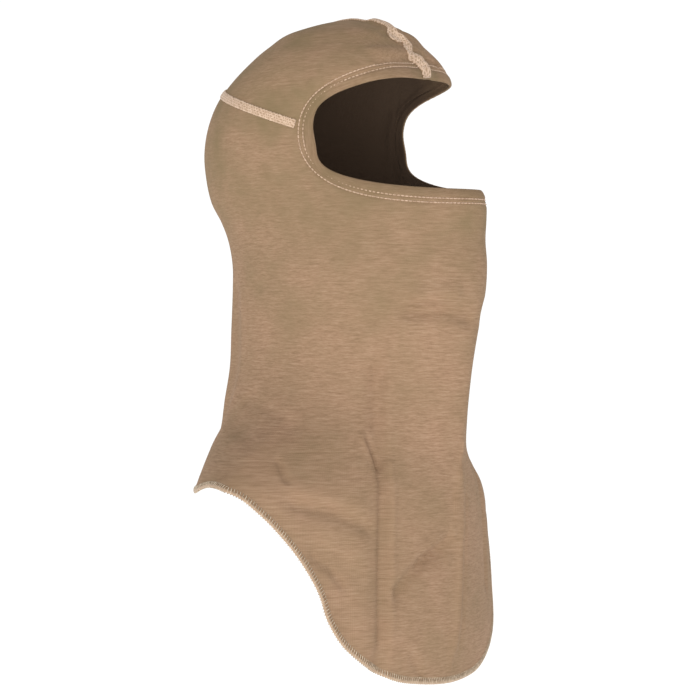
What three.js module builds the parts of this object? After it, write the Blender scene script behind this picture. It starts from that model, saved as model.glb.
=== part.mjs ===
// Knitted flame resistant balaclava hood: a two-panel crown, a face opening with a turned elastic hem, and one
// panel for cheeks, neck and bib. Millimetres, +Z up. The face looks along -Y, the wearer's left is +X, and the
// origin is where the top of the head meets the inside of the crown.
import * as THREE from "three";

// The three zones from the crown down: height, full breadth, and how far each reaches to the front and back.
const HEAD = { height: 150, breadth: 140, front: 104, back: 108 };
const NECK = { height: 130, breadth: 136, front: 100, back: 85 };
const DRAPE = { height: 176, breadth: 340, front: 90, back: 84 };

// Cloth, and the gap that separate pieces keep.
const CLOTH_WALL = 1.6;
const JOIN_GAP = 0.3;

// Face opening: its outline as seen from the front, and the drop from the crown to its middle.
const FACE_BREADTH = 131.6;
const FACE_HEIGHT = 77;
const FACE_DROP = 80;
const FACE_UPPER_POWER = 4;
const FACE_LOWER_POWER = 4.6;

// Turned hem with elastic round the face opening: it draws the cloth in over the last stretch before the rim.
const FACE_BAND_WIDTH = 8;
const FACE_BAND_THICKNESS = 2.8;
const FACE_DRAW_DEPTH = 2.5;
const FACE_DRAW_REACH = 22;

// Flat seams of the crown. The back seam lies in a plane that rises this far from the middle of the head to its back.
const SEAM_WIDTH = 6;
const SEAM_THICKNESS = 0.9;
const SEAM_LIFT = 0.45;
const SEAM_END_GAP = 0.8;
const BACK_SEAM_DROP = 75;
const BACK_SEAM_RISE = 34.6;

// Overlocked bottom edge.
const HEM_EDGE_HEIGHT = 2.6;
const HEM_EDGE_THICKNESS = 2.2;

// Folds that the cloth hangs in.
const FOLD_WIDTH = 14;
const FOLD_DEPTH = 3;

// Sections from the crown down. level is a share of the zone's height, breadth of its half breadth, front and
// back of its reaches, and centre, where the section is widest, of its back reach. frontPower and backPower
// shape each half of the section: 2 is an ellipse and less is more pointed.
const HEAD_SECTIONS = [
  { level: 0.0, breadth: 0.0, front: 0.0, back: 0.0, centre: 0.0, frontPower: 2.2, backPower: 2.0 },
  { level: 0.053, breadth: 0.47, front: 0.345, back: 0.38, centre: 0.0, frontPower: 2.9, backPower: 2.0 },
  { level: 0.127, breadth: 0.68, front: 0.445, back: 0.555, centre: 0.03, frontPower: 3.4, backPower: 2.0 },
  { level: 0.2, breadth: 0.82, front: 0.535, back: 0.675, centre: 0.08, frontPower: 3.7, backPower: 2.0 },
  { level: 0.287, breadth: 0.915, front: 0.62, back: 0.8, centre: 0.14, frontPower: 3.7, backPower: 2.0 },
  { level: 0.38, breadth: 0.965, front: 0.7, back: 0.905, centre: 0.2, frontPower: 2.5, backPower: 2.0 },
  { level: 0.493, breadth: 0.995, front: 0.79, back: 0.97, centre: 0.26, frontPower: 2.0, backPower: 2.0 },
  { level: 0.613, breadth: 1.0, front: 0.87, back: 1.0, centre: 0.27, frontPower: 1.95, backPower: 2.0 },
  { level: 0.733, breadth: 0.99, front: 0.95, back: 0.99, centre: 0.23, frontPower: 1.8, backPower: 2.0 },
  { level: 0.84, breadth: 0.975, front: 1.0, back: 0.955, centre: 0.17, frontPower: 1.8, backPower: 2.0 },
  { level: 0.933, breadth: 0.965, front: 0.995, back: 0.88, centre: 0.1, frontPower: 1.8, backPower: 2.0 },
];
const NECK_SECTIONS = [
  { level: 0.03, breadth: 0.99, front: 1.025, back: 1.05, centre: 0.06, frontPower: 1.8, backPower: 2.0 },
  { level: 0.16, breadth: 1.0, front: 1.035, back: 1.01, centre: 0.02, frontPower: 1.8, backPower: 2.0 },
  { level: 0.31, breadth: 1.0, front: 1.025, back: 1.015, centre: 0.0, frontPower: 1.75, backPower: 2.0 },
  { level: 0.5, breadth: 0.99, front: 0.98, back: 1.03, centre: 0.0, frontPower: 1.65, backPower: 2.0 },
  { level: 0.69, breadth: 1.03, front: 0.945, back: 1.035, centre: 0.0, frontPower: 1.5, backPower: 2.0 },
  { level: 0.86, breadth: 1.18, front: 0.92, back: 1.05, centre: 0.0, frontPower: 1.38, backPower: 2.0 },
];
const DRAPE_SECTIONS = [
  { level: 0.0, breadth: 0.58, front: 1.0, back: 1.055, centre: 0.0, frontPower: 1.3, backPower: 1.9 },
  { level: 0.09, breadth: 0.75, front: 0.98, back: 1.05, centre: 0.0, frontPower: 1.22, backPower: 1.78 },
  { level: 0.165, breadth: 0.88, front: 0.975, back: 1.04, centre: 0.0, frontPower: 1.24, backPower: 1.7 },
  { level: 0.24, breadth: 0.97, front: 0.97, back: 1.035, centre: 0.0, frontPower: 1.31, backPower: 1.65 },
  { level: 0.34, breadth: 1.0, front: 0.97, back: 1.03, centre: 0.0, frontPower: 1.37, backPower: 1.6 },
  { level: 0.48, breadth: 1.0, front: 0.96, back: 1.02, centre: 0.0, frontPower: 1.43, backPower: 1.6 },
  { level: 0.65, breadth: 1.0, front: 0.95, back: 1.0, centre: 0.0, frontPower: 1.49, backPower: 1.6 },
  { level: 0.82, breadth: 1.0, front: 0.925, back: 0.98, centre: 0.0, frontPower: 1.57, backPower: 1.6 },
  { level: 1.0, breadth: 1.0, front: 0.85, back: 0.96, centre: 0.0, frontPower: 1.62, backPower: 1.6 },
  { level: 1.06, breadth: 1.0, front: 0.82, back: 0.95, centre: 0.0, frontPower: 1.62, backPower: 1.6 },
];

// The bottom edge from the middle of the front round to the middle of the back: turn is in degrees from the
// front, and drop is a share of the drape's height below the neck.
const HEM = [
  { turn: 0, drop: 1.0 },
  { turn: 22, drop: 0.992 },
  { turn: 40, drop: 0.97 },
  { turn: 53, drop: 0.915 },
  { turn: 61.5, drop: 0.835 },
  { turn: 66.5, drop: 0.735 },
  { turn: 69.2, drop: 0.625 },
  { turn: 73, drop: 0.52 },
  { turn: 77.5, drop: 0.42 },
  { turn: 82.5, drop: 0.325 },
  { turn: 88, drop: 0.25 },
  { turn: 96, drop: 0.222 },
  { turn: 107, drop: 0.248 },
  { turn: 120, drop: 0.252 },
  { turn: 138, drop: 0.235 },
  { turn: 159, drop: 0.225 },
  { turn: 180, drop: 0.222 },
];

// Share of the hem's rows, from the front, that the columns under the face opening reach.
const HEM_FRONT_SHARE = 0.65;

// At the top of the crown its seam leans this many degrees to the wearer's right of the middle.
const CROWN_SEAM_LEAN_TURN = 18;

// Folds and dents of the cloth, each along a line on its surface. turns are in degrees, negative on the wearer's
// right, and levels are shares of the drape's height, negative above it. width and depth are shares of
// FOLD_WIDTH and FOLD_DEPTH, and a negative depth is a valley.
const FOLDS = [
  { turns: [-46, -47, -47.5, -48.6, -49], levels: [-0.2, 0.05, 0.33, 0.62, 0.98], width: 0.8, depth: -1.0 },
  { turns: [-57, -57, -56], levels: [0.3, 0.55, 0.85], width: 1.0, depth: 0.5 },
  { turns: [-76, -66, -53], levels: [0.28, 0.32, 0.38], width: 0.8, depth: -0.8 },
  { turns: [-70, -58], levels: [0.45, 0.56], width: 0.8, depth: -0.5 },
  { turns: [-8, -28, -41], levels: [0.47, 0.55, 0.64], width: 0.8, depth: -0.8 },
  { turns: [-28, -16, -3], levels: [-0.44, -0.445, -0.42], width: 0.8, depth: -0.7 },
  { turns: [-27, -13], levels: [-0.51, -0.52], width: 0.8, depth: 0.5 },
  { turns: [0, 0, 0], levels: [0.2, 0.5, 0.85], width: 0.7, depth: 0.6 },
  { turns: [44, 46, 48], levels: [-0.1, 0.3, 0.62], width: 0.9, depth: -0.9 },
  { turns: [75, 60], levels: [0.27, 0.4], width: 0.8, depth: -0.7 },
  { turns: [25, 10], levels: [-0.46, -0.44], width: 0.8, depth: -0.5 },
  { turns: [-150, -146, -140], levels: [-0.5, -0.2, 0.12], width: 1.2, depth: -0.9 },
  { turns: [150, 147, 143], levels: [-0.45, -0.2, 0.12], width: 1.2, depth: -0.9 },
];

// Columns of a crown panel leave the top of the crown this much further round than they reach its edge.
const CROWN_FAN = 1.25;

// Steps of the faceted surfaces.
const UPPER_FACE_STEPS = 12;
const LOWER_FACE_STEPS = 18;
const BACK_STEPS = 14;
const CROWN_ROWS = 9;
const BODY_ROWS = 22;
const CROWN_SEAM_STEPS = 36;
const BACK_SEAM_STEPS = 48;
const OVAL_SIDES = 8;
const RIM_STEPS = 72;
const SEARCH_STEPS = 40;
const SMALL = 1e-4;
const NEAR = 0.01;

const KNIT = { color: 0xa48a6a, roughness: 0.95, metalness: 0 };
const THREAD = { color: 0xd2b698, roughness: 0.85, metalness: 0 };

// A row of a section table in millimetres; the zone starts at top.
function sectionRow(zone, top, row) {
  const centre = row.centre * zone.back;
  return {
    drop: top + row.level * zone.height,
    half: (row.breadth * zone.breadth) / 2,
    front: row.front * zone.front + centre,
    back: row.back * zone.back - centre,
    centre,
    frontPower: row.frontPower,
    backPower: row.backPower,
  };
}

const NECK_TOP = HEAD.height;
const DRAPE_TOP = HEAD.height + NECK.height;
const SECTIONS = [
  ...HEAD_SECTIONS.map((row) => sectionRow(HEAD, 0, row)),
  ...NECK_SECTIONS.map((row) => sectionRow(NECK, NECK_TOP, row)),
  ...DRAPE_SECTIONS.map((row) => sectionRow(DRAPE, DRAPE_TOP, row)),
];

// Lengths that change sign across the top of the crown, which keeps it smooth there.
const RADIAL = ["half", "front", "back"];

// Smooth curve through four evenly spaced values, at a share of the way between the middle two.
function curveThrough(before, start, end, after, share) {
  const square = share * share;
  const cube = square * share;
  return (
    (2 * cube - 3 * square + 1) * start +
    ((cube - 2 * square + share) * (end - before)) / 2 +
    (3 * square - 2 * cube) * end +
    ((cube - square) * (after - start)) / 2
  );
}

// One column of a table at a fractional row; the sign turns it over before the first row.
function columnAt(table, key, at, sign) {
  const last = table.length - 1;
  const i = Math.min(Math.max(Math.floor(at), 0), last - 1);
  const before = i === 0 ? sign * table[1][key] : table[i - 1][key];
  const after = table[Math.min(i + 2, last)][key];
  return curveThrough(before, table[i][key], table[i + 1][key], after, at - i);
}

function sectionAt(at) {
  const section = {};
  for (const key of Object.keys(SECTIONS[0])) {
    section[key] = columnAt(SECTIONS, key, at, RADIAL.includes(key) ? -1 : 1);
  }
  return section;
}

// Where a rising function reaches zero between two ends.
function rootOf(rising, low, high) {
  let [from, to] = [low, high];
  for (let i = 0; i < SEARCH_STEPS; i += 1) {
    const middle = (from + to) / 2;
    if (rising(middle) < 0) from = middle;
    else to = middle;
  }
  return (from + to) / 2;
}

function rowAtHeight(z) {
  const below = (at) => CLOTH_WALL - z <= columnAt(SECTIONS, "drop", at, 1);
  return rootOf((at) => (below(at) ? 1 : -1), 0, SECTIONS.length - 1);
}

// A point of the plain outer surface: turn goes round from the front, at is the section row.
function plainPoint(turn, at) {
  const section = sectionAt(at);
  const forward = Math.cos(turn);
  const across = Math.abs(Math.sin(turn)) / Math.max(section.half, SMALL);
  const reach = Math.max(forward > 0 ? section.front : section.back, SMALL);
  const power = forward > 0 ? section.frontPower : section.backPower;
  const radius = (across ** power + (Math.abs(forward) / reach) ** power) ** (-1 / power);
  return new THREE.Vector3(
    radius * Math.sin(turn),
    section.centre - radius * forward,
    CLOTH_WALL - section.drop,
  );
}

// Unit normal of the plain outer surface.
function normalAt(turn, at) {
  if (at < NEAR) return new THREE.Vector3(0, 0, 1);
  const round = plainPoint(turn + NEAR, at).sub(plainPoint(turn - NEAR, at));
  const down = plainPoint(turn, at + NEAR).sub(plainPoint(turn, at - NEAR));
  return down.cross(round).normalize();
}

// The turn and row of the surface point that lies level with a point near the surface.
function placeOf(point) {
  const at = rowAtHeight(point.z);
  return { turn: Math.atan2(point.x, sectionAt(at).centre - point.y), at };
}

// A point at a distance from a curve on the surface, square to the curve and along the cloth.
function besideCurve(curve, along, distance) {
  const place = curve(along);
  const outward = normalAt(place.turn, place.at).cross(tangentOf(curve, along));
  return placeOf(curvePoint(curve, along).addScaledVector(outward, distance));
}

function curvePoint(curve, along) {
  const place = curve(along);
  return plainPoint(place.turn, place.at);
}

function tangentOf(curve, along) {
  return curvePoint(curve, along + NEAR).sub(curvePoint(curve, along - NEAR)).normalize();
}

// The rim of the face opening: angle 0 is the middle of the brow, and it goes round by the wearer's left.
function rim(angle) {
  const up = Math.cos(angle);
  const power = up > 0 ? FACE_UPPER_POWER : FACE_LOWER_POWER;
  const across = Math.abs(Math.sin(angle)) / (FACE_BREADTH / 2);
  const radius = (across ** power + (Math.abs(up) / (FACE_HEIGHT / 2)) ** power) ** (-1 / power);
  const at = rowAtHeight(CLOTH_WALL - FACE_DROP + radius * up);
  const section = sectionAt(at);
  const x = radius * Math.sin(angle);
  const share = Math.min(Math.abs(x) / section.half, 1);
  const forward = section.front * (1 - share ** section.frontPower) ** (1 / section.frontPower);
  return { turn: Math.atan2(x, forward), at };
}

const besideRim = (angle, distance) => besideCurve(rim, angle, distance);

// The bottom edge, by rows of its table; it is mirrored behind the first row and past the last.
function hem(along) {
  const last = HEM.length - 1;
  const inside = Math.min(Math.abs(along), 2 * last - Math.abs(along));
  const turn = THREE.MathUtils.degToRad(columnAt(HEM, "turn", inside, -1));
  const drop = DRAPE_TOP + columnAt(HEM, "drop", inside, 1) * DRAPE.height;
  const sign = along < 0 || along > last ? -1 : 1;
  return { turn: sign * turn, at: rowAtHeight(CLOTH_WALL - drop) };
}

const besideHem = (along, distance) => besideCurve(hem, along, distance);

// How far above the plane of the back seam a point of the surface is.
function aboveBackSeam(place) {
  const point = plainPoint(place.turn, place.at);
  return point.z + BACK_SEAM_DROP - (BACK_SEAM_RISE / HEAD.back) * point.y;
}

// The place at a turn that lies a given height above the back seam.
function backSeam(turn, rise) {
  const at = rootOf((row) => rise - aboveBackSeam({ turn, at: row }), 0, HEAD_SECTIONS.length);
  return { turn, at };
}

// The angle at which a line beside the rim meets the back seam, which is above the cheek's widest place.
function rimAngleAtSeam(distance, rise) {
  return rootOf((angle) => rise - aboveBackSeam(besideRim(angle, distance)), 0, (Math.PI * 3) / 5);
}

const RIM_POINTS = spaced(0, 2 * Math.PI, RIM_STEPS).map((angle) => curvePoint(rim, angle));

// How deep the elastic draws the cloth in at a point.
function drawnIn(point) {
  const away = Math.min(...RIM_POINTS.map((near) => near.distanceTo(point)));
  const share = Math.max(1 - away / FACE_DRAW_REACH, 0);
  return FACE_DRAW_DEPTH * share * share;
}

// The straight stretches of each fold's line, with its reach and height in millimetres.
const FOLD_LINES = FOLDS.map(({ turns, levels, width, depth }) => {
  const points = turns.map((turn, i) => {
    const drop = DRAPE_TOP + levels[i] * DRAPE.height;
    return plainPoint(THREE.MathUtils.degToRad(turn), rowAtHeight(CLOTH_WALL - drop));
  });
  const stretches = points.slice(1).map((end, i) => new THREE.Line3(points[i], end));
  return { stretches, reach: width * FOLD_WIDTH, height: depth * FOLD_DEPTH };
});

// How far the folds lift a point.
function foldLift(point) {
  const nearest = new THREE.Vector3();
  let lift = 0;
  for (const { stretches, reach, height } of FOLD_LINES) {
    const gaps = stretches.map((line) =>
      line.closestPointToPoint(point, true, nearest).distanceTo(point),
    );
    const share = Math.min(Math.min(...gaps) / reach, 1);
    lift += height * (1 - share * share) ** 2;
  }
  return lift;
}

// A point of the cloth, lifted off its outer face.
function clothPoint(place, lift) {
  const point = plainPoint(place.turn, place.at);
  const offset = lift + foldLift(point) - drawnIn(point);
  return point.addScaledVector(normalAt(place.turn, place.at), offset);
}

// One closed loop round a panel's cut: down its outer face and back up the inner one.
function panelRing(places) {
  const outer = places.map((place) => clothPoint(place, 0));
  const inner = places.map((place) => clothPoint(place, -CLOTH_WALL));
  return [...outer, ...inner.reverse()];
}

// Corners of a flat oval that fills a width and a thickness.
function ovalOffsets(width, thickness) {
  return Array.from({ length: OVAL_SIDES }, (_, i) => {
    const angle = (2 * Math.PI * (i + 0.5)) / OVAL_SIDES;
    const fill = 1 / (2 * Math.cos(Math.PI / OVAL_SIDES));
    return { aside: width * fill * Math.cos(angle), above: thickness * fill * Math.sin(angle) };
  });
}

// One oval loop round the middle of the cloth; beside gives the place at a distance from its edge.
function edgeRing(beside, width, thickness) {
  return ovalOffsets(width, thickness).map(({ aside, above }) =>
    clothPoint(beside(width / 2 + aside), above - CLOTH_WALL / 2),
  );
}

// A closed mesh from loops of equal length, swept from one to the next; open sweeps are capped.
function sweptGeometry(rings, closed) {
  const size = rings[0].length;
  const corners = [];
  const addTriangle = (a, b, c) => {
    const flat = a.distanceTo(b) < SMALL || b.distanceTo(c) < SMALL || c.distanceTo(a) < SMALL;
    if (!flat) corners.push(a, b, c);
  };
  const spans = closed ? rings.length : rings.length - 1;
  for (let j = 0; j < spans; j += 1) {
    const ring = rings[j];
    const next = rings[(j + 1) % rings.length];
    for (let i = 0; i < size; i += 1) {
      const k = (i + 1) % size;
      addTriangle(ring[i], next[i], next[k]);
      addTriangle(ring[i], next[k], ring[k]);
    }
  }
  if (!closed) {
    addCap(rings[0], addTriangle);
    addCap([...rings[rings.length - 1]].reverse(), addTriangle);
  }
  return geometryOf(corners);
}

// Closes a loop whose points pair up across it, first with last.
function addCap(ring, addTriangle) {
  const last = ring.length - 1;
  for (let i = 0; i < ring.length / 2 - 1; i += 1) {
    addTriangle(ring[i], ring[i + 1], ring[last - i - 1]);
    addTriangle(ring[i], ring[last - i - 1], ring[last - i]);
  }
}

// Triangles as a geometry whose faces point out.
function geometryOf(corners) {
  let volume = 0;
  for (let i = 0; i < corners.length; i += 3) {
    volume += corners[i].dot(corners[i + 1].clone().cross(corners[i + 2]));
  }
  const facing = volume > 0 ? corners : [...corners].reverse();
  const geometry = new THREE.BufferGeometry().setFromPoints(facing);
  geometry.computeVertexNormals();
  return geometry;
}

function namedMesh(name, rings, closed, finish) {
  const mesh = new THREE.Mesh(sweptGeometry(rings, closed), new THREE.MeshStandardMaterial(finish));
  mesh.name = name;
  return mesh;
}

// Evenly spaced numbers from one to another, both ends included.
function spaced(from, to, steps) {
  return Array.from({ length: steps + 1 }, (_, i) => from + ((to - from) * i) / steps);
}

const mirrored = (place) => ({ turn: -place.turn, at: place.at });
const between = (from, to, share) => ({
  turn: THREE.MathUtils.lerp(from.turn, to.turn, share),
  at: THREE.MathUtils.lerp(from.at, to.at, share),
});

const PANEL_START = FACE_BAND_WIDTH + JOIN_GAP;
const BAND_RISE = (FACE_BAND_THICKNESS - CLOTH_WALL) / 2;
const CROWN_CORNER = rimAngleAtSeam(PANEL_START, JOIN_GAP / 2);
const BODY_CORNER = rimAngleAtSeam(PANEL_START, -JOIN_GAP / 2);
const UPPER_ANGLES = spaced(0, CROWN_CORNER, UPPER_FACE_STEPS);
const LOWER_ANGLES = spaced(Math.PI, BODY_CORNER, LOWER_FACE_STEPS);

// How far round the crown seam leans, at a share of the way from the top of the crown to the front or back edge.
const LEAN = THREE.MathUtils.degToRad(CROWN_SEAM_LEAN_TURN);
const leanBefore = (share) => LEAN * (1 - share * share);
const leanBehind = (share) => LEAN * (1 - share) ** 3;

// One crown panel, from the top of the crown down to the face hem and the back seam.
function crownPanel(name, side) {
  const brow = UPPER_ANGLES.map((angle) => besideRim(angle, PANEL_START));
  const corner = brow[UPPER_FACE_STEPS].turn;
  const seam = spaced(corner, Math.PI, BACK_STEPS).map((turn) => backSeam(turn, JOIN_GAP / 2));
  const fan = spaced(corner * CROWN_FAN, Math.PI, BACK_STEPS);
  const topTurns = [...brow.map(({ turn }) => turn * CROWN_FAN), ...fan.slice(1)];
  const rings = [...brow, ...seam.slice(1)].map((edge, i) => {
    const top = { turn: topTurns[i], at: 0 };
    const front = Math.max(1 - i / UPPER_FACE_STEPS, 0);
    const behind = Math.max((i - UPPER_FACE_STEPS) / BACK_STEPS, 0);
    const places = spaced(0, 1, CROWN_ROWS).map((share) => {
      const { turn, at } = between(top, edge, share);
      return { turn: side * turn - front * leanBefore(share) - behind * leanBehind(share), at };
    });
    return panelRing(places);
  });
  const mesh = namedMesh(name, rings, false, KNIT);
  mesh.position.x = (side * JOIN_GAP) / 2;
  return mesh;
}

// The upper and lower end of each column of the one-piece panel, over its left half.
function bodyColumns() {
  const chin = LOWER_ANGLES.map((angle) => besideRim(angle, PANEL_START));
  const corner = chin[LOWER_FACE_STEPS].turn;
  const seam = spaced(corner, Math.PI, BACK_STEPS).map((turn) => backSeam(turn, -JOIN_GAP / 2));
  const side = HEM_FRONT_SHARE * (HEM.length - 1);
  const alongHem = [
    ...spaced(0, side, LOWER_FACE_STEPS),
    ...spaced(side, HEM.length - 1, BACK_STEPS).slice(1),
  ];
  return [...chin, ...seam.slice(1)].map((top, i) => ({ top, along: alongHem[i] }));
}

const COLUMNS = bodyColumns();

// A list for the left half, carried on round the right half back to its start.
function allRound(half, mirror) {
  return [...half, ...half.slice(1, -1).reverse().map(mirror)];
}

// Cheeks, neck and bib, from the face hem and the back seam down to the overlocked edge.
function bodyPanel() {
  const columns = COLUMNS.map(({ top, along }) => {
    const bottom = besideHem(along, HEM_EDGE_HEIGHT + JOIN_GAP);
    return spaced(0, 1, BODY_ROWS).map((share) => between(top, bottom, share));
  });
  const round = allRound(columns, (places) => places.map(mirrored));
  return namedMesh("hood_body", round.map(panelRing), true, KNIT);
}

// The turned hem round the face opening.
function faceBand() {
  const angles = [...UPPER_ANGLES, ...LOWER_ANGLES.slice(0, -1).reverse()];
  const round = allRound(angles, (angle) => -angle);
  const rings = round.map((angle) =>
    edgeRing((distance) => besideRim(angle, distance), FACE_BAND_WIDTH, FACE_BAND_THICKNESS),
  );
  return namedMesh("face_band", rings, true, KNIT);
}

// A seam's flat oval loop at a place on its line; lift is the height of its underside above the cloth.
function seamRing(curve, along, lift) {
  const place = curve(along);
  const across = normalAt(place.turn, place.at).cross(tangentOf(curve, along));
  return ovalOffsets(SEAM_WIDTH, SEAM_THICKNESS).map(({ aside, above }) =>
    clothPoint(place, lift + SEAM_THICKNESS / 2 + above).addScaledVector(across, aside),
  );
}

// The line of the crown seam: rows count from the top of the crown, negative to the front.
const CROWN_FRONT_ROW = besideRim(0, PANEL_START).at;
const CROWN_BACK_ROW = backSeam(Math.PI, JOIN_GAP / 2).at;
function crownLine(rows) {
  if (rows < 0) return { turn: -leanBefore(Math.min(-rows / CROWN_FRONT_ROW, 1)), at: -rows };
  return { turn: Math.PI - leanBehind(rows / CROWN_BACK_ROW), at: rows };
}

// Seam from the brow over the crown to the back seam, on top of the face band at its front end.
function crownSeam() {
  const start = besideRim(0, SEAM_END_GAP).at;
  const end = backSeam(Math.PI, SEAM_WIDTH / 2 + SEAM_END_GAP).at;
  const browRim = curvePoint(rim, 0);
  const rings = spaced(-start, end, CROWN_SEAM_STEPS).map((rows) => {
    const away = rows < 0 ? curvePoint(crownLine, rows).distanceTo(browRim) : Infinity;
    const overBand = 1 - THREE.MathUtils.smoothstep(away, PANEL_START, PANEL_START + SEAM_WIDTH);
    return seamRing(crownLine, rows, SEAM_LIFT + BAND_RISE * overBand);
  });
  return namedMesh("crown_seam", rings, false, THREAD);
}

// Seam from one side of the face band round the back of the head to the other side.
function backSeamBand() {
  const line = (turn) => backSeam(turn, 0);
  const beside = PANEL_START + SEAM_END_GAP;
  const start = besideRim(rimAngleAtSeam(beside, 0), beside).turn;
  const rings = spaced(start, 2 * Math.PI - start, BACK_SEAM_STEPS).map((turn) =>
    seamRing(line, turn, SEAM_LIFT),
  );
  return namedMesh("back_seam", rings, false, THREAD);
}

// The overlocked edge along the bottom.
function hemEdge() {
  const last = HEM.length - 1;
  const round = allRound(COLUMNS.map(({ along }) => along), (along) => 2 * last - along);
  const rings = round.map((along) =>
    edgeRing((distance) => besideHem(along, distance), HEM_EDGE_HEIGHT, HEM_EDGE_THICKNESS),
  );
  return namedMesh("hem_edge", rings, true, THREAD);
}

export default new THREE.Group().add(
  crownPanel("crown_left", 1),
  crownPanel("crown_right", -1),
  bodyPanel(),
  faceBand(),
  crownSeam(),
  backSeamBand(),
  hemEdge(),
);
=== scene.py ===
"""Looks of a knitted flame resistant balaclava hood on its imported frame.

The cloth is one smooth surface, worked out from a table of sections that runs from the crown to the bib.
Every panel, hem, seam and stitch lies on that surface. Sizes and tables are in millimetres, and meshes in
metres.
"""

import math

import bmesh
import bpy
import numpy as np
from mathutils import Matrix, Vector


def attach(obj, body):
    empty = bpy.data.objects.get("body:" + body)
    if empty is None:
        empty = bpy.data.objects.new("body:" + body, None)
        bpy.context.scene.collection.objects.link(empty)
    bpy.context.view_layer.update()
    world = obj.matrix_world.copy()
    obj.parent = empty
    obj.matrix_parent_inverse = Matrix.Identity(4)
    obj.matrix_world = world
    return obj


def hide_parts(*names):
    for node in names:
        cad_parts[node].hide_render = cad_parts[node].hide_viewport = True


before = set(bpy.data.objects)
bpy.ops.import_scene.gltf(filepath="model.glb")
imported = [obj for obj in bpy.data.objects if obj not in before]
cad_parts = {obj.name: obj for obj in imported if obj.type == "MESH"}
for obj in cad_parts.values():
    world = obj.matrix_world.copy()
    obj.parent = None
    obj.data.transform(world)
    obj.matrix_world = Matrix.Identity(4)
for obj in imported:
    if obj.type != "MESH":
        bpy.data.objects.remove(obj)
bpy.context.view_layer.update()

MM = 0.001

# The hood's zones from the crown down, as in the part.
HEAD = {"height": 150.0, "breadth": 140.0, "front": 104.0, "back": 108.0}
NECK = {"height": 130.0, "breadth": 136.0, "front": 100.0, "back": 85.0}
DRAPE = {"height": 176.0, "breadth": 340.0, "front": 90.0, "back": 84.0}
CLOTH_WALL = 1.6

# Face opening and its turned hem.
FACE_BREADTH, FACE_HEIGHT, FACE_DROP = 131.6, 77.0, 80.0
FACE_UPPER_POWER, FACE_LOWER_POWER = 4.0, 4.6
FACE_BAND_WIDTH, FACE_BAND_THICKNESS = 8.0, 2.8
FACE_DRAW_DEPTH, FACE_DRAW_REACH = 2.5, 22.0
# Panels reach this far under the hem and the overlocking that cover their edges.
OVERLAP = 0.4
PANEL_START = FACE_BAND_WIDTH - OVERLAP

# Flat seams.
SEAM_WIDTH, SEAM_THICKNESS, SEAM_LIFT, SEAM_END_GAP = 6.0, 0.9, 0.45, 0.8
BACK_SEAM_DROP, BACK_SEAM_RISE = 75.0, 34.6
CROWN_SEAM_LEAN = math.radians(18.0)
CROWN_FAN = 1.25

# Overlocked bottom edge, where the jersey curls outwards.
HEM_EDGE_HEIGHT, HEM_EDGE_THICKNESS = 2.6, 2.2
CURL, CURL_REACH = 1.4, 9.0

FOLD_WIDTH, FOLD_DEPTH = 14.0, 3.0

# Columns: level, breadth, front, back, centre, front power, back power, as shares of the zone's sizes.
HEAD_SECTIONS = (
    (0.0, 0.0, 0.0, 0.0, 0.0, 2.2, 2.0),
    (0.053, 0.47, 0.345, 0.38, 0.0, 2.9, 2.0),
    (0.127, 0.68, 0.445, 0.555, 0.03, 3.4, 2.0),
    (0.2, 0.82, 0.535, 0.675, 0.08, 3.7, 2.0),
    (0.287, 0.915, 0.62, 0.8, 0.14, 3.7, 2.0),
    (0.38, 0.965, 0.7, 0.905, 0.2, 2.5, 2.0),
    (0.493, 0.995, 0.79, 0.97, 0.26, 2.0, 2.0),
    (0.613, 1.0, 0.87, 1.0, 0.27, 1.95, 2.0),
    (0.733, 0.99, 0.95, 0.99, 0.23, 1.8, 2.0),
    (0.84, 0.975, 1.0, 0.955, 0.17, 1.8, 2.0),
    (0.933, 0.965, 0.995, 0.88, 0.1, 1.8, 2.0),
)
NECK_SECTIONS = (
    (0.03, 0.99, 1.025, 1.05, 0.06, 1.8, 2.0),
    (0.16, 1.0, 1.035, 1.01, 0.02, 1.8, 2.0),
    (0.31, 1.0, 1.025, 1.015, 0.0, 1.75, 2.0),
    (0.5, 0.99, 0.98, 1.03, 0.0, 1.65, 2.0),
    (0.69, 1.03, 0.945, 1.035, 0.0, 1.5, 2.0),
    (0.86, 1.18, 0.92, 1.05, 0.0, 1.38, 2.0),
)
DRAPE_SECTIONS = (
    (0.0, 0.58, 1.0, 1.055, 0.0, 1.3, 1.9),
    (0.09, 0.75, 0.98, 1.05, 0.0, 1.22, 1.78),
    (0.165, 0.88, 0.975, 1.04, 0.0, 1.24, 1.7),
    (0.24, 0.97, 0.97, 1.035, 0.0, 1.31, 1.65),
    (0.34, 1.0, 0.97, 1.03, 0.0, 1.37, 1.6),
    (0.48, 1.0, 0.96, 1.02, 0.0, 1.43, 1.6),
    (0.65, 1.0, 0.95, 1.0, 0.0, 1.49, 1.6),
    (0.82, 1.0, 0.925, 0.98, 0.0, 1.57, 1.6),
    (1.0, 1.0, 0.85, 0.96, 0.0, 1.62, 1.6),
    (1.06, 1.0, 0.82, 0.95, 0.0, 1.62, 1.6),
)
# Columns: turn from the front in degrees, drop as a share of the drape's height.
HEM = np.array(
    (
        (0, 1.0), (22, 0.992), (40, 0.97), (53, 0.915), (61.5, 0.835), (66.5, 0.735), (69.2, 0.625),
        (73, 0.52), (77.5, 0.42), (82.5, 0.325), (88, 0.25), (96, 0.222), (107, 0.248), (120, 0.252),
        (138, 0.235), (159, 0.225), (180, 0.222),
    ),
    float,
)
HEM_FRONT_SHARE = 0.65
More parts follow.
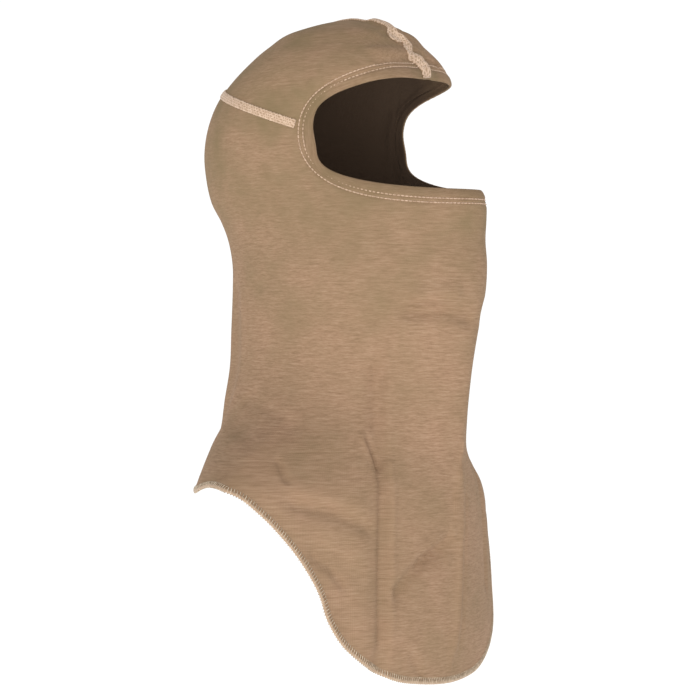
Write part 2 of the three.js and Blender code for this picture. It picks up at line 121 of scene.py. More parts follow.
# Columns: turns in degrees, levels as shares of the drape's height, width and depth as shares of the fold's.
FOLDS = (
    ((-46, -47, -47.5, -48.6, -49), (-0.2, 0.05, 0.33, 0.62, 0.98), 0.8, -1.0),
    ((-57, -57, -56), (0.3, 0.55, 0.85), 1.0, 0.5),
    ((-76, -66, -53), (0.28, 0.32, 0.38), 0.8, -0.8),
    ((-70, -58), (0.45, 0.56), 0.8, -0.5),
    ((-8, -28, -41), (0.47, 0.55, 0.64), 0.8, -0.8),
    ((-28, -16, -3), (-0.44, -0.445, -0.42), 0.8, -0.7),
    ((-27, -13), (-0.51, -0.52), 0.8, 0.5),
    ((0, 0, 0), (0.2, 0.5, 0.85), 0.7, 0.6),
    ((44, 46, 48), (-0.1, 0.3, 0.62), 0.9, -0.9),
    ((75, 60), (0.27, 0.4), 0.8, -0.7),
    ((25, 10), (-0.46, -0.44), 0.8, -0.5),
    ((-150, -146, -140), (-0.5, -0.2, 0.12), 1.2, -0.9),
    ((150, 147, 143), (-0.45, -0.2, 0.12), 1.2, -0.9),
)
# Creases that are too fine for the part, and swells that deepen its folds. Columns: turns in degrees, drops
# from the crown, reach, height.
CREASES = (
    # The long fold beside the bib's middle, with the swell on either side of it.
    ((-44.0, -45.0, -46.0, -46.3, -47.0, -47.2), (235, 262, 290, 339, 389, 425), 7.0, -1.3),
    ((-45.6, -46.0, -46.8, -47.0), (300, 339, 389, 432), 6.0, -0.7),
    ((-42.0, -42.5, -43.2, -44.0), (305, 339, 389, 420), 5.0, 1.0),
    ((-49.6, -50.2, -51.0), (310, 360, 425), 6.0, 1.1),
    ((-51.4, -46.2), (288, 306), 4.5, -1.9),
    ((-54.0, -49.5), (287, 303), 4.5, 0.9),
    # Slanting folds of the bib.
    ((-82.0, -78.6), (303, 314), 5.0, -2.0),
    ((-70.5, -66.0, -62.4), (366, 373, 384), 5.0, -2.2),
    ((-31.5, -28.0, -24.5), (436, 441, 447), 4.5, -1.8),
    ((-14, -26, -34, -39), (364, 372, 381, 391), 6.5, -2.7),
    ((-8, -16, -27), (357, 363, 371), 5.5, -2.2),
    ((-16, -30, -41), (356, 364, 379), 7.0, 1.3),
    ((-75.0, -64.9, -53.5), (330, 336, 347), 6.0, -1.6),
    ((-20, -27), (405, 417), 7.0, -0.8),
    # Creases at the front, where the bib turns away.
    ((0.5, -1.5, -4.5, -7.5), (290, 312, 342, 374), 2.6, 1.3),
    ((1.0, 0.5, 0, -0.5), (345, 370, 400, 446), 2.6, 1.2),
    ((7, 6, 6), (330, 380, 430), 5.0, -0.9),
    # Pull under the chin and on the nape.
    ((-34, -16.1, -4.0), (203, 202, 208), 6.5, -2.5),
    ((-29, -13), (193, 191), 7.0, 1.2),
    ((-60, -40, -24), (212, 206, 204), 7.0, -0.7),
    ((-118, -100, -84), (262, 268, 280), 9.0, -1.2),
    ((-125, -108, -92), (282, 290, 300), 9.0, 0.9),
    ((-128, -112), (188, 182), 9.0, -0.8),
    # Gathers where the crown's halves meet over the brow, and the ridge that the seam draws up beside it.
    ((-14, -12, -8, -2, 9, -3, 2), (4, 9, 17, 21, 24, 30, 36), 9.0, 2.6),
    ((-42, -35, -27, -15), (25.5, 25, 25, 24.5), 6.5, 1.3),
    ((-38, -23, -12), (33, 31, 29.5), 5.0, -1.5),
    ((-30, -19), (12, 12.5), 5.0, -1.0),
    ((6, 14, 22), (27, 28, 30), 5.0, -2.2),
    ((6, 3.5, 9), (7, 10, 13), 6.0, 1.2),
    ((-14, -9), (15, 19.5), 4.0, -1.4),
    ((4, 9, 16), (18.5, 20, 22), 4.5, 1.0),
)

# Steps of the fine meshes.
FACE_COLUMNS, BACK_COLUMNS = 100, 74
BODY_EDGE_ROWS, BODY_ROWS, INNER_STRIDE = 14, 136, 3
CROWN_COLUMNS, CROWN_BACK_COLUMNS, CROWN_ROWS = 72, 62, 96
CROWN_SEAM_STEPS, BACK_SEAM_STEPS = 700, 500

SEED = 7


def section_table():
    """One row per section: drop, half breadth, front and back reach from its widest place, shift, powers."""
    rows = []
    tops = (0.0, HEAD["height"], HEAD["height"] + NECK["height"])
    for zone, top, table in zip((HEAD, NECK, DRAPE), tops, (HEAD_SECTIONS, NECK_SECTIONS, DRAPE_SECTIONS)):
        for level, breadth, front, back, centre, front_power, back_power in table:
            shift = centre * zone["back"]
            rows.append(
                (
                    top + level * zone["height"],
                    breadth * zone["breadth"] / 2,
                    front * zone["front"] + shift,
                    back * zone["back"] - shift,
                    shift,
                    front_power,
                    back_power,
                )
            )
    return np.array(rows)


SECTIONS = section_table()
CROSSING = np.array((1.0, -1.0, -1.0, -1.0, 1.0, 1.0, 1.0))
DRAPE_TOP = HEAD["height"] + NECK["height"]


def table_at(table, at, crossing):
    """Rows of a table at fractional places: the cubic through four neighbours. The row before the first is
    the second, with its signs turned by crossing."""
    at = np.asarray(at, float)
    last = len(table) - 1
    i = np.clip(np.floor(at).astype(int), 0, last - 1)
    q = (at - i)[..., None]
    before = np.where((i == 0)[..., None], crossing * table[1], table[np.maximum(i - 1, 0)])
    after = table[np.minimum(i + 2, last)]
    start, end = table[i], table[i + 1]
    q2, q3 = q * q, q * q * q
    slope_in, slope_out = (end - before) / 2, (after - start) / 2
    leaving = (2 * q3 - 3 * q2 + 1) * start + (q3 - 2 * q2 + q) * slope_in
    return leaving + (3 * q2 - 2 * q3) * end + (q3 - q2) * slope_out


FINE_ROWS = np.linspace(0, len(SECTIONS) - 1, 12001)
FINE_DROPS = table_at(SECTIONS, FINE_ROWS, CROSSING)[:, 0]


def row_at(z):
    """The section row at a height, from the table of drops read backwards."""
    return np.interp(CLOTH_WALL - np.asarray(z, float), FINE_DROPS, FINE_ROWS)


def plain(turn, at):
    """Outer surface: at each height a superellipse of its own, in polar form round its widest place."""
    c = table_at(SECTIONS, at, CROSSING)
    forward = np.cos(turn)
    front = forward > 0
    across = np.abs(np.sin(turn)) / np.maximum(c[..., 1], 1e-4)
    reach = np.maximum(np.where(front, c[..., 2], c[..., 3]), 1e-4)
    power = np.where(front, c[..., 5], c[..., 6])
    radius = (across**power + (np.abs(forward) / reach) ** power) ** (-1 / power)
    return np.stack((radius * np.sin(turn), c[..., 4] - radius * forward, CLOTH_WALL - c[..., 0]), -1)


def unit(v):
    """Vectors at length one."""
    return v / np.maximum(np.linalg.norm(v, axis=-1, keepdims=True), 1e-12)


NEAR = 0.01


def normal(turn, at):
    """Outward normal: the cross product of the steps down and round the surface."""
    turn, at = np.broadcast_arrays(np.asarray(turn, float), np.asarray(at, float))
    round_step = plain(turn + NEAR, at) - plain(turn - NEAR, at)
    down_step = plain(turn, at + NEAR) - plain(turn, np.maximum(at - NEAR, 0))
    found = unit(np.cross(down_step, round_step))
    return np.where((at < NEAR)[..., None], np.array((0.0, 0.0, 1.0)), found)


def turn_of(points, at):
    """Turn of points round the widest place of the sections at their rows."""
    centre = table_at(SECTIONS, at, CROSSING)[..., 4]
    return np.arctan2(points[..., 0], centre - points[..., 1])


def place_of(points):
    """Turn and row of the surface places level with points near the surface."""
    at = row_at(points[..., 2])
    return turn_of(points, at), at


def rim(angle):
    """Edge of the face opening: a superellipse seen from the front, carried back onto the surface."""
    up = np.cos(angle)
    power = np.where(up > 0, FACE_UPPER_POWER, FACE_LOWER_POWER)
    across = np.abs(np.sin(angle)) / (FACE_BREADTH / 2)
    radius = (across**power + (np.abs(up) / (FACE_HEIGHT / 2)) ** power) ** (-1 / power)
    at = row_at(CLOTH_WALL - FACE_DROP + radius * up)
    c = table_at(SECTIONS, at, CROSSING)
    x = radius * np.sin(angle)
    share = np.minimum(np.abs(x) / c[..., 1], 1)
    forward = c[..., 2] * (1 - share ** c[..., 5]) ** (1 / c[..., 5])
    return np.arctan2(x, forward), at


def hem(along):
    """Bottom edge by rows of its table, mirrored past both of its ends."""
    along = np.asarray(along, float)
    last = len(HEM) - 1
    inside = np.minimum(np.abs(along), 2 * last - np.abs(along))
    row = table_at(HEM, inside, np.array((-1.0, 1.0)))
    side = np.where((along < 0) | (along > last), -1.0, 1.0)
    return side * np.radians(row[..., 0]), row_at(CLOTH_WALL - DRAPE_TOP - row[..., 1] * DRAPE["height"])


def beside(curve, along, distance):
    """Places at a distance from a curve on the surface, square to it and along the cloth."""
    turn, at = curve(along)
    tangent = unit(plain(*curve(along + NEAR)) - plain(*curve(along - NEAR)))
    outward = np.cross(normal(turn, at), tangent)
    return place_of(plain(turn, at) + outward * np.asarray(distance, float)[..., None])


def root_of(rising, low, high):
    """Where a rising function of whole arrays reaches zero, by halving the interval."""
    low, high = np.array(low, float), np.array(high, float)
    for _ in range(36):
        middle = (low + high) / 2
        below = rising(middle) < 0
        low, high = np.where(below, middle, low), np.where(below, high, middle)
    return (low + high) / 2


def above_back_seam(turn, at):
    """Height of places over the plane of the back seam, which rises towards the back."""
    p = plain(turn, at)
    return p[..., 2] + BACK_SEAM_DROP - (BACK_SEAM_RISE / HEAD["back"]) * p[..., 1]


def back_seam(turn, rise=0.0):
    """Places at given turns on the plane of the back seam, or at a height above it."""
    turn = np.asarray(turn, float)
    rows = np.zeros(turn.shape)
    return turn, root_of(lambda at: rise - above_back_seam(turn, at), rows, rows + len(HEAD_SECTIONS))


def rim_angle_at_seam(distance):
    """Angle round the rim where a line beside it meets the plane of the back seam."""
    found = root_of(
        lambda a: -above_back_seam(*beside(rim, a, np.full(a.shape, distance))),
        np.zeros(1),
        np.full(1, math.pi * 3 / 5),
    )
    return float(found[0])


# Rows of cover stitches that hold the turned hem, by their distance from the rim, and the groove each draws.
COVER_ROWS = (7.9, 11.2)
GROOVE_REACH, GROOVE_DEPTH, GROOVE_ZONE = 1.2, 0.6, 18.0
ROW_STEPS, ROW_SMOOTHING, RIM_STEPS = 600, 61, 240
BLOCK_POINTS = 4000


def stitch_row(distance):
    """Places of a stitch row round the face opening, evened out where the brow turns into the temples."""
    angle = np.linspace(0, 2 * math.pi, ROW_STEPS + 1)[:-1]
    points = plain(*beside(rim, angle, np.array(distance)))
    kernel = np.hanning(ROW_SMOOTHING) / np.hanning(ROW_SMOOTHING).sum()
    half = ROW_SMOOTHING // 2
    even = [np.convolve(np.pad(points[:, k], half, "wrap"), kernel, "valid") for k in range(3)]
    return place_of(np.stack(even, -1))


RIM_LOOP = plain(*rim(np.linspace(0, 2 * math.pi, RIM_STEPS + 1)[:-1]))
ROW_LOOPS = [plain(*stitch_row(distance)) for distance in COVER_ROWS]


def loop_distance(points, loop):
    """Distance of points from the nearest point of a loop, in blocks to spare memory."""
    flat = points.reshape(-1, 3)
    found = [
        np.sqrt(((block[:, None] - loop[None]) ** 2).sum(-1).min(1))
        for block in np.array_split(flat, max(len(flat) // BLOCK_POINTS, 1))
    ]
    return np.concatenate(found).reshape(points.shape[:-1])


def line_distance(points, line):
    """Distance of points from a line of straight stretches."""
    nearest = np.full(points.shape[:-1], np.inf)
    for start, end in zip(line[:-1], line[1:]):
        step = end - start
        share = np.clip(((points - start) @ step) / (step @ step), 0, 1)
        nearest = np.minimum(nearest, np.linalg.norm(points - start - share[..., None] * step, axis=-1))
    return nearest


def surface_line(turns, drops):
    """Points of the smooth surface at turns in degrees and drops from the crown."""
    return plain(np.radians(np.array(turns, float)), row_at(CLOTH_WALL - np.array(drops, float)))


def fold_lines():
    """Every fold and crease as its line, reach and height."""
    lines = []
    for turns, levels, width, depth in FOLDS:
        drops = DRAPE_TOP + np.array(levels) * DRAPE["height"]
        lines.append((surface_line(turns, drops), width * FOLD_WIDTH, depth * FOLD_DEPTH))
    for turns, drops, reach, height in CREASES:
        lines.append((surface_line(turns, drops), reach, height))
    return lines


FOLD_LINES = fold_lines()


def relief(points):
    """Lift of the cloth: a fold adds its height times (1 - share squared) squared, where the share is the
    distance over its reach. The elastic draws the rim in, and each row of stitches pulls a groove."""
    lift = np.zeros(points.shape[:-1])
    for line, reach, height in FOLD_LINES:
        share = np.minimum(line_distance(points, line) / reach, 1)
        lift += height * (1 - share * share) ** 2
    away = loop_distance(points, RIM_LOOP)
    lift -= FACE_DRAW_DEPTH * np.maximum(1 - away / FACE_DRAW_REACH, 0) ** 2
    close = away < GROOVE_ZONE
    for loop in ROW_LOOPS:
        lift[close] -= GROOVE_DEPTH * np.exp(-((loop_distance(points[close], loop) / GROOVE_REACH) ** 2))
    return lift


def cloth(turn, at, lift=0.0):
    """Points of the cloth, lifted off its outer face."""
    p = plain(turn, at)
    n = normal(turn, at)
    return p + n * (relief(p) + lift)[..., None]


def linear(code):
    """A colour code as linear light: each channel through the sRGB curve."""
    channels = [int(code[i : i + 2], 16) / 255 for i in (1, 3, 5)]
    return [c / 12.92 if c <= 0.04045 else ((c + 0.055) / 1.055) ** 2.4 for c in channels] + [1.0]


def add_node(tree, kind, inputs=None, **settings):
    """Adds a node with its settings, its input values and the links into it."""
    node = tree.nodes.new(kind)
    for name, value in settings.items():
        setattr(node, name, value)
    for socket, value in (inputs or {}).items():
        if isinstance(value, bpy.types.NodeSocket):
            tree.links.new(value, node.inputs[socket])
        else:
            node.inputs[socket].default_value = value
    return node


def blend(tree, share, first, second):
    """The first colour turning into the second by the share."""
    mixed = add_node(tree, "ShaderNodeMix", {0: share, 6: first, 7: second}, data_type="RGBA")
    return mixed.outputs[2]


def noise(tree, vector, scale, detail, roughness, distortion=0.0):
    """Noise read at a vector."""
    inputs = {"Scale": scale, "Detail": detail, "Roughness": roughness, "Distortion": distortion}
    return add_node(tree, "ShaderNodeTexNoise", {"Vector": vector, **inputs}).outputs[0]


def ribs(tree, vector, scale, distortion, direction):
    """Waves along one direction of a vector."""
    inputs = {"Vector": vector, "Scale": scale, "Distortion": distortion, "Detail": 1.0}
    return add_node(tree, "ShaderNodeTexWave", inputs, bands_direction=direction).outputs["Fac"]


def ranged(tree, value, low, high, start=0.0, end=1.0):
    """A value carried from one range over to another, and held at its ends."""
    return add_node(tree, "ShaderNodeMapRange", {0: value, 1: low, 2: high, 3: start, 4: end}).outputs[0]


def figured(tree, operation, *values, clamp=False):
    """One step of arithmetic on values."""
    inputs = dict(enumerate(values))
    return add_node(tree, "ShaderNodeMath", inputs, operation=operation, use_clamp=clamp).outputs[0]


def raised(tree, strength, depth, height):
    """A relief whose depth is in metres."""
    inputs = {"Strength": strength, "Distance": depth, "Height": height}
    return add_node(tree, "ShaderNodeBump", inputs).outputs[0]


def new_material(name):
    """An empty material and its tree."""
    material = bpy.data.materials.new(name)
    material.use_nodes = True
    material.node_tree.nodes.clear()
    return material, material.node_tree


def add_shader(tree, inputs):
    """A material's shader, linked to its output."""
    shader = add_node(tree, "ShaderNodeBsdfPrincipled", inputs)
    add_node(tree, "ShaderNodeOutputMaterial", {0: shader.outputs[0]})


# Heathered yarn as noise scales per 100 mm of cloth, along the courses and across them: dashes 5 mm long and
# 0.6 mm high, and stripes 14 mm long and 1.4 mm high.
DASH_SCALE = (19.0, 165.0, 165.0)
STRIPE_SCALE, STRIPE_SHIFT = (7.0, 70.0, 70.0), (3.1, 7.7, 0.0)
CLOUD_SCALE = 26.0
# A wave repeats every 2 pi / 20 / scale. The loops come out 1.1 mm wide and 0.9 mm high, coarser than the
# real 0.7 mm, so that they show.
WALE_SCALE, COURSE_SCALE = 28.5, 36.0
LOOP_RELIEF, THREAD_RELIEF = 0.00022, 0.0001
# Flecks of the spun threads, per metre.
STITCH_FLECKS, SEAM_FLECKS = 500.0, 420.0


def knit_material(name, dark, middle, light, olive, shade=None):
    """Jersey knit of heathered yarn: short light and dark dashes lie along the courses, over soft clouds of
    olive that grow stronger at the head, where they paint shade. Heights below are in metres."""
    material, tree = new_material(name)
    grain = add_node(tree, "ShaderNodeAttribute", attribute_name="grain", attribute_type="GEOMETRY")
    grain = grain.outputs["Vector"]
    dashes = add_node(tree, "ShaderNodeMapping", {0: grain, "Scale": DASH_SCALE})
    stripes = add_node(tree, "ShaderNodeMapping", {0: grain, "Scale": STRIPE_SCALE, "Location": STRIPE_SHIFT})
    yarn = figured(
        tree,
        "ADD",
        noise(tree, dashes.outputs[0], 1.0, 2.0, 0.6, 0.15),
        noise(tree, stripes.outputs[0], 1.0, 2.0, 0.55, 0.3),
    )
    ramp = add_node(tree, "ShaderNodeValToRGB", {0: ranged(tree, yarn, 0.53, 1.47)})
    ramp.color_ramp.elements[0].color = linear(dark)
    ramp.color_ramp.elements[1].color = linear(light)
    ramp.color_ramp.elements.new(0.5).color = linear(middle)
    where = add_node(tree, "ShaderNodeTexCoord").outputs["Object"]
    _, y, z = add_node(tree, "ShaderNodeSeparateXYZ", {0: where}).outputs
    clouds = noise(tree, where, CLOUD_SCALE, 3.0, 0.6)
    # The olive clouds vary at random. Their share grows from half at the neck to all of it at the head, which
    # is painted shade that darkens the head.
    olive_share_and_head_shade = ranged(tree, z, -0.24, -0.07, 0.5)
    colour = blend(tree, ranged(tree, clouds, 0.24, 0.76, 0.0, olive_share_and_head_shade), ramp.outputs[0], linear(olive))
    if shade:
        # Painted shade: inside the head and neck the knit is painted towards the shade colour, as it lies in
        # shade there; the bib's inner face lies open and keeps the knit's colour.
        painted_shade_share = ranged(tree, z, -0.33, -0.2)
        # Painted light: the underside of the brow, where light falls in through the opening, is painted
        # lighter and takes less of the painted shade.
        painted_brow_light = ranged(tree, z, -0.09, -0.06, 0.0, ranged(tree, y, -0.02, -0.05, 0.0, 0.75))
        colour = blend(tree, figured(tree, "SUBTRACT", painted_shade_share, painted_brow_light, clamp=True), colour, linear(shade))
    loops = figured(
        tree,
        "MULTIPLY",
        ribs(tree, grain, WALE_SCALE, 0.4, "X"),
        ribs(tree, grain, COURSE_SCALE, 0.5, "Y"),
    )
    height = figured(tree, "MULTIPLY_ADD", yarn, 0.7, loops)
    inputs = {
        "Base Color": colour,
        "Roughness": 0.92,
        "Specular IOR Level": 0.15,
        "Sheen Weight": 0.04,
        "Sheen Roughness": 0.5,
        "Sheen Tint": linear("#e8d6c0"),
        "Normal": raised(tree, 0.35, LOOP_RELIEF, height),
    }
    add_shader(tree, inputs)
    return material


def spun_thread(tree, light, dark, scale):
    """Colour and relief of spun thread: flecks of random tone every few millimetres, whose hollows are
    painted darker as painted shade.
    """
    where = add_node(tree, "ShaderNodeTexCoord").outputs["Object"]
    flecks_and_hollow_shade = noise(tree, where, scale, 2.0, 0.6)
    # The same noise gives the flecks and the relief, so the hollows are painted darker, which is painted
    # shade.
    colour = blend(tree, ranged(tree, flecks_and_hollow_shade, 0.36, 0.64), linear(dark), linear(light))
    return colour, raised(tree, 0.3, THREAD_RELIEF, flecks_and_hollow_shade)


def thread_shader(tree, colour, relief_out, roughness):
    """Shader of polyaramid threads, pale and matt."""
    inputs = {
        "Base Color": colour,
        "Roughness": roughness,
        "Specular IOR Level": 0.3,
        "Sheen Weight": 0.2,
        "Normal": relief_out,
    }
    add_shader(tree, inputs)


def thread_material(name, light, dark, scale):
    """Spun sewing thread."""
    material, tree = new_material(name)
    thread_shader(tree, *spun_thread(tree, light, dark, scale), 0.75)
    return material


def seam_material(name, light, dark, gap):
    """Flat seam: pale looper threads cross over the joined edges, and the cloth shows darker between them."""
    material, tree = new_material(name)
    lifted = add_node(tree, "ShaderNodeAttribute", attribute_name="thread", attribute_type="GEOMETRY")
    thread, relief_out = spun_thread(tree, light, dark, SEAM_FLECKS)
    depth = ranged(tree, lifted.outputs["Fac"], 0.15, 0.55)
    thread_shader(tree, blend(tree, depth, linear(gap), thread), relief_out, 0.78)
    return material


# Corners sharper than this stay sharp: none on the round threads.
CLOTH_CORNER, THREAD_CORNER = 60.0, 180.0


def make_piece(
    name, points, quads, materials, nodes=(), grain=None, thread=None, inner=None, sharp=CLOTH_CORNER
):
    """A closed mesh of points in millimetres and quads, with its own attributes, smooth, faces outwards."""
    mesh = bpy.data.meshes.new(name)
    mesh.from_pydata(points * MM, [], quads)
    for material in materials:
        mesh.materials.append(material)
    if grain is not None:
        places = mesh.attributes.new("grain", "FLOAT_VECTOR", "POINT")
        places.data.foreach_set("vector", grain.astype(np.float32).ravel())
    if thread is not None:
        values = mesh.attributes.new("thread", "FLOAT", "POINT")
        values.data.foreach_set("value", thread.astype(np.float32))
    if inner is not None:
        mesh.polygons.foreach_set("material_index", inner.astype(np.int32))
    work = bmesh.new()
    work.from_mesh(mesh)
    bmesh.ops.remove_doubles(work, verts=work.verts, dist=1e-6)
    bmesh.ops.recalc_face_normals(work, faces=work.faces)
    work.to_mesh(mesh)
    work.free()
    mesh.shade_smooth()
    mesh.set_sharp_from_angle(angle=math.radians(sharp))
    piece = bpy.data.objects.new(name, mesh)
    bpy.context.scene.collection.objects.link(piece)
    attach(piece, "root")
    if nodes:
        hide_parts(*nodes)
    return piece


def swept_quads(count, size, closed):
    """Quads of loops of equal length, joined each to the next."""
    spans = count if closed else count - 1
    j = np.arange(spans)[:, None]
    i = np.arange(size)[None]
    a, b = j * size + i, ((j + 1) % count) * size + i
    k = (i + 1) % size
    c, d = ((j + 1) % count) * size + k, j * size + k
    return np.stack(np.broadcast_arrays(a, b, c, d), -1).reshape(-1, 4)


def cap_quads(size, start):
    """Quads across one loop whose points pair up, first with last."""
    i = np.arange(size // 2 - 1)
    return np.stack((start + i, start + i + 1, start + size - 2 - i, start + size - 1 - i), -1)


def capped_quads(count, size):
    """Quads of an open run of loops, and of the caps on its two ends."""
    swept = swept_quads(count, size, False)
    return np.concatenate((swept, cap_quads(size, 0), cap_quads(size, (count - 1) * size)))


def lowest(values, reach, axis):
    """The lowest of the values within a reach along an axis."""
    last = values.shape[axis] - 1
    places = np.arange(last + 1)
    near = [np.take(values, np.clip(places + k, 0, last), axis) for k in range(-reach, reach + 1)]
    return np.min(near, axis=0)


def panel_mesh(turn, at, inner_rows, closed, lift=0.0):
    """Loops down the outer face and back up the inner one, one for each column of places.

    turn and at have one row per column of the panel. Returns points, quads and which quads are inside."""
    base, out = plain(turn, at), normal(turn, at)
    height = relief(base) + lift
    outer = base + out * height[..., None]
    # The inner face has fewer rows, so it keeps below the deepest crease near each of its points.
    depth = lowest(lowest(height, INNER_STRIDE, 1), 2, 0) - CLOTH_WALL
    inside = (base + out * depth[..., None])[:, inner_rows][:, ::-1]
    rings = np.concatenate((outer, inside), 1)
    count, size = rings.shape[:2]
    quads = swept_quads(count, size, True) if closed else capped_quads(count, size)
    is_inner = np.zeros(len(quads), bool)
    swept = size * (count if closed else count - 1)
    is_inner[:swept] = np.arange(swept) % size >= turn.shape[1]
    return rings.reshape(-1, 3), quads, is_inner


SEAM_CORNER = rim_angle_at_seam(PANEL_START)
EDGE_START = np.array(PANEL_START)
# How strongly the rows of a crown half close up towards its edge, where the stitches pucker the cloth.
ROW_CLOSING = 1.35


def crown_panel(side):
    """Half of the crown: columns fan out from the top of the head to the brow's hem and the back seam. The
    middle ones lean with the crown seam."""
    angle = np.linspace(0, SEAM_CORNER, CROWN_COLUMNS + 1)
    brow_turn, brow_at = beside(rim, angle, EDGE_START)
    corner = brow_turn[-1]
    seam_turn, seam_at = back_seam(np.linspace(corner, math.pi, CROWN_BACK_COLUMNS + 1))
    edge_turn = np.concatenate((brow_turn, seam_turn[1:]))
    edge_at = np.concatenate((brow_at, seam_at[1:]))
    fan = np.linspace(corner * CROWN_FAN, math.pi, CROWN_BACK_COLUMNS + 1)
    top_turn = np.concatenate((brow_turn * CROWN_FAN, fan[1:]))
    share = 1 - (1 - np.linspace(0, 1, CROWN_ROWS)) ** ROW_CLOSING
    count = np.arange(len(edge_turn))[:, None]
    front = np.maximum(1 - count / CROWN_COLUMNS, 0)
    behind = np.maximum((count - CROWN_COLUMNS) / CROWN_BACK_COLUMNS, 0)
    lean = front * CROWN_SEAM_LEAN * (1 - share**2) + behind * CROWN_SEAM_LEAN * (1 - share) ** 3
    turn = side * (top_turn[:, None] + (edge_turn - top_turn)[:, None] * share) - lean
    at = edge_at[:, None] * share
    return turn, at


# Cloth coordinates count in units of this many millimetres, and cloth goes round the hood by this many for
# every radian of turn.
GRAIN_UNIT, CLOTH_PER_TURN = 100, 95.0


def crown_grain(points, normals):
    """Cloth coordinates of a crown half in units of 100 mm: along the courses, round the brow and back along
    the side; down; and across the top of the head, where the courses lie flat."""
    from_side = FACE_BREADTH / 2 - np.abs(points[:, 0])
    along = points[:, 1] - from_side * np.clip(-normals[:, 1], 0, 1) ** 2
    return np.stack((along, points[:, 2], points[:, 0] * normals[:, 2] ** 2), -1) / GRAIN_UNIT


def make_crown(name, side, nodes, finish):
    """One half of the crown, with as many rows inside as outside."""
    turn, at = crown_panel(side)
    points, quads, is_inner = panel_mesh(turn, at, np.arange(turn.shape[1]), False)
    out = normal(turn, at)
    grain = crown_grain(points, np.concatenate((out, out[:, ::-1]), 1).reshape(-1, 3))
    return make_piece(name, points, quads, finish, nodes, grain=grain, inner=is_inner)


def curl(from_edge):
    """Lift of the cloth near its cut edge: a parabola that ends at the curl's reach."""
    return CURL * np.maximum(1 - from_edge / CURL_REACH, 0) ** 2


def body_columns():
    """Top and bottom places of each column of the one-piece panel, all the way round."""
    angle = np.linspace(math.pi, SEAM_CORNER, FACE_COLUMNS + 1)
    chin_turn, chin_at = beside(rim, angle, EDGE_START)
    seam_turn, seam_at = back_seam(np.linspace(chin_turn[-1], math.pi, BACK_COLUMNS + 1))
    last = len(HEM) - 1
    side_row = HEM_FRONT_SHARE * last
    front_rows = np.linspace(0, side_row, FACE_COLUMNS + 1)
    along = np.concatenate((front_rows, np.linspace(side_row, last, BACK_COLUMNS + 1)[1:]))
    top_turn = np.concatenate((chin_turn, seam_turn[1:]))
    top_at = np.concatenate((chin_at, seam_at[1:]))
    return top_turn, top_at, along


def all_round(half, sign):
    """Values of the left half, then those of the right half back to the start."""
    return np.concatenate((half, sign * half[-2:0:-1]))


# Share of the one-piece panel's height that has the close rows of its top edge.
EDGE_SHARE = 0.03


def make_body(nodes, finish):
    """Columns run from the face hem or the back seam down to the overlocked edge."""
    top_turn, top_at, along = body_columns()
    end_turn, end_at = beside(hem, along, np.array(HEM_EDGE_HEIGHT - OVERLAP))
    edge = np.linspace(0, EDGE_SHARE, BODY_EDGE_ROWS + 1)[:-1]
    share = np.concatenate((edge, np.linspace(EDGE_SHARE, 1, BODY_ROWS + 1)))
    turn = top_turn[:, None] + (end_turn - top_turn)[:, None] * share
    at = top_at[:, None] + (end_at - top_at)[:, None] * share
    turn, at = all_round(turn, -1), all_round(at, 1)
    rows = np.unique(np.append(np.arange(0, turn.shape[1], INNER_STRIDE), turn.shape[1] - 1))
    down = plain(turn, at)
    from_edge = HEM_EDGE_HEIGHT + np.linalg.norm(down - down[:, -1:], axis=-1)
    points, quads, is_inner = panel_mesh(turn, at, rows, True, curl(from_edge))
    around = np.concatenate((turn, turn[:, rows][:, ::-1]), 1).ravel() * CLOTH_PER_TURN
    grain = np.stack((around, points[:, 2], np.zeros(len(points))), -1) / GRAIN_UNIT
    return make_piece("body_knit", points, quads, finish, nodes, grain=grain, inner=is_inner)


BAND_STEPS, BAND_SIDES = 420, 28
# The hem's oval is squarer than an ellipse, and its inner face starts below this share of its half height.
BAND_POWER, BAND_INSIDE = 0.75, -0.3


def rounded(share):
    """A sine or cosine that stays longer near its ends, for a squarer oval."""
    return np.sign(share) * np.abs(share) ** BAND_POWER


def make_band(nodes, finish):
    """Turned hem, a flat oval swept round the rim, which swells up to the first row of stitches."""
    angle = np.linspace(0, 2 * math.pi, BAND_STEPS + 1)[:-1]
    phase = 2 * math.pi * (np.arange(BAND_SIDES) + 0.5) / BAND_SIDES
    aside = rounded(np.cos(phase)) * FACE_BAND_WIDTH / 2
    above = rounded(np.sin(phase)) * FACE_BAND_THICKNESS / 2
    grid_angle, grid_aside = np.meshgrid(angle, aside, indexing="ij")
    turn, at = beside(rim, grid_angle, FACE_BAND_WIDTH / 2 + grid_aside)
    points = cloth(turn, at, np.broadcast_to(above, grid_angle.shape) - CLOTH_WALL / 2)
    length = np.linalg.norm(np.diff(plain(*rim(np.append(angle, 0))), axis=0), axis=1)
    run = np.concatenate(((0.0,), np.cumsum(length)))[:-1]
    grain = np.stack(np.broadcast_arrays(run[:, None], aside[None], 0.0), -1).reshape(-1, 3) / GRAIN_UNIT
    points = points.reshape(-1, 3)
    quads = swept_quads(BAND_STEPS, BAND_SIDES, True)
    inside = np.tile(np.sin(phase) < BAND_INSIDE, BAND_STEPS)
    return make_piece("face_hem", points, quads, finish, nodes, grain=grain, inner=inside)


def read_at(marks, lengths, line, ups):
    """A line and its normals, read off at marks of its length."""
    found = np.stack([np.interp(marks, lengths, line[:, k]) for k in range(3)], -1)
    return found, unit(np.stack([np.interp(marks, lengths, ups[:, k]) for k in range(3)], -1))


def even_line(points, normals, step):
    """The same line at even steps of its own length, with its normals."""
    lengths = np.concatenate(((0.0,), np.cumsum(np.linalg.norm(np.diff(points, axis=0), axis=1))))
    marks = np.linspace(0, lengths[-1], int(round(lengths[-1] / step)) + 1)
    return *read_at(marks, lengths, points, normals), marks


def across_line(line, ups, closed):
    """Directions square to a line and to its normals."""
    along = np.roll(line, -1, 0) - np.roll(line, 1, 0) if closed else np.gradient(line, axis=0)
    return unit(np.cross(ups, unit(along)))


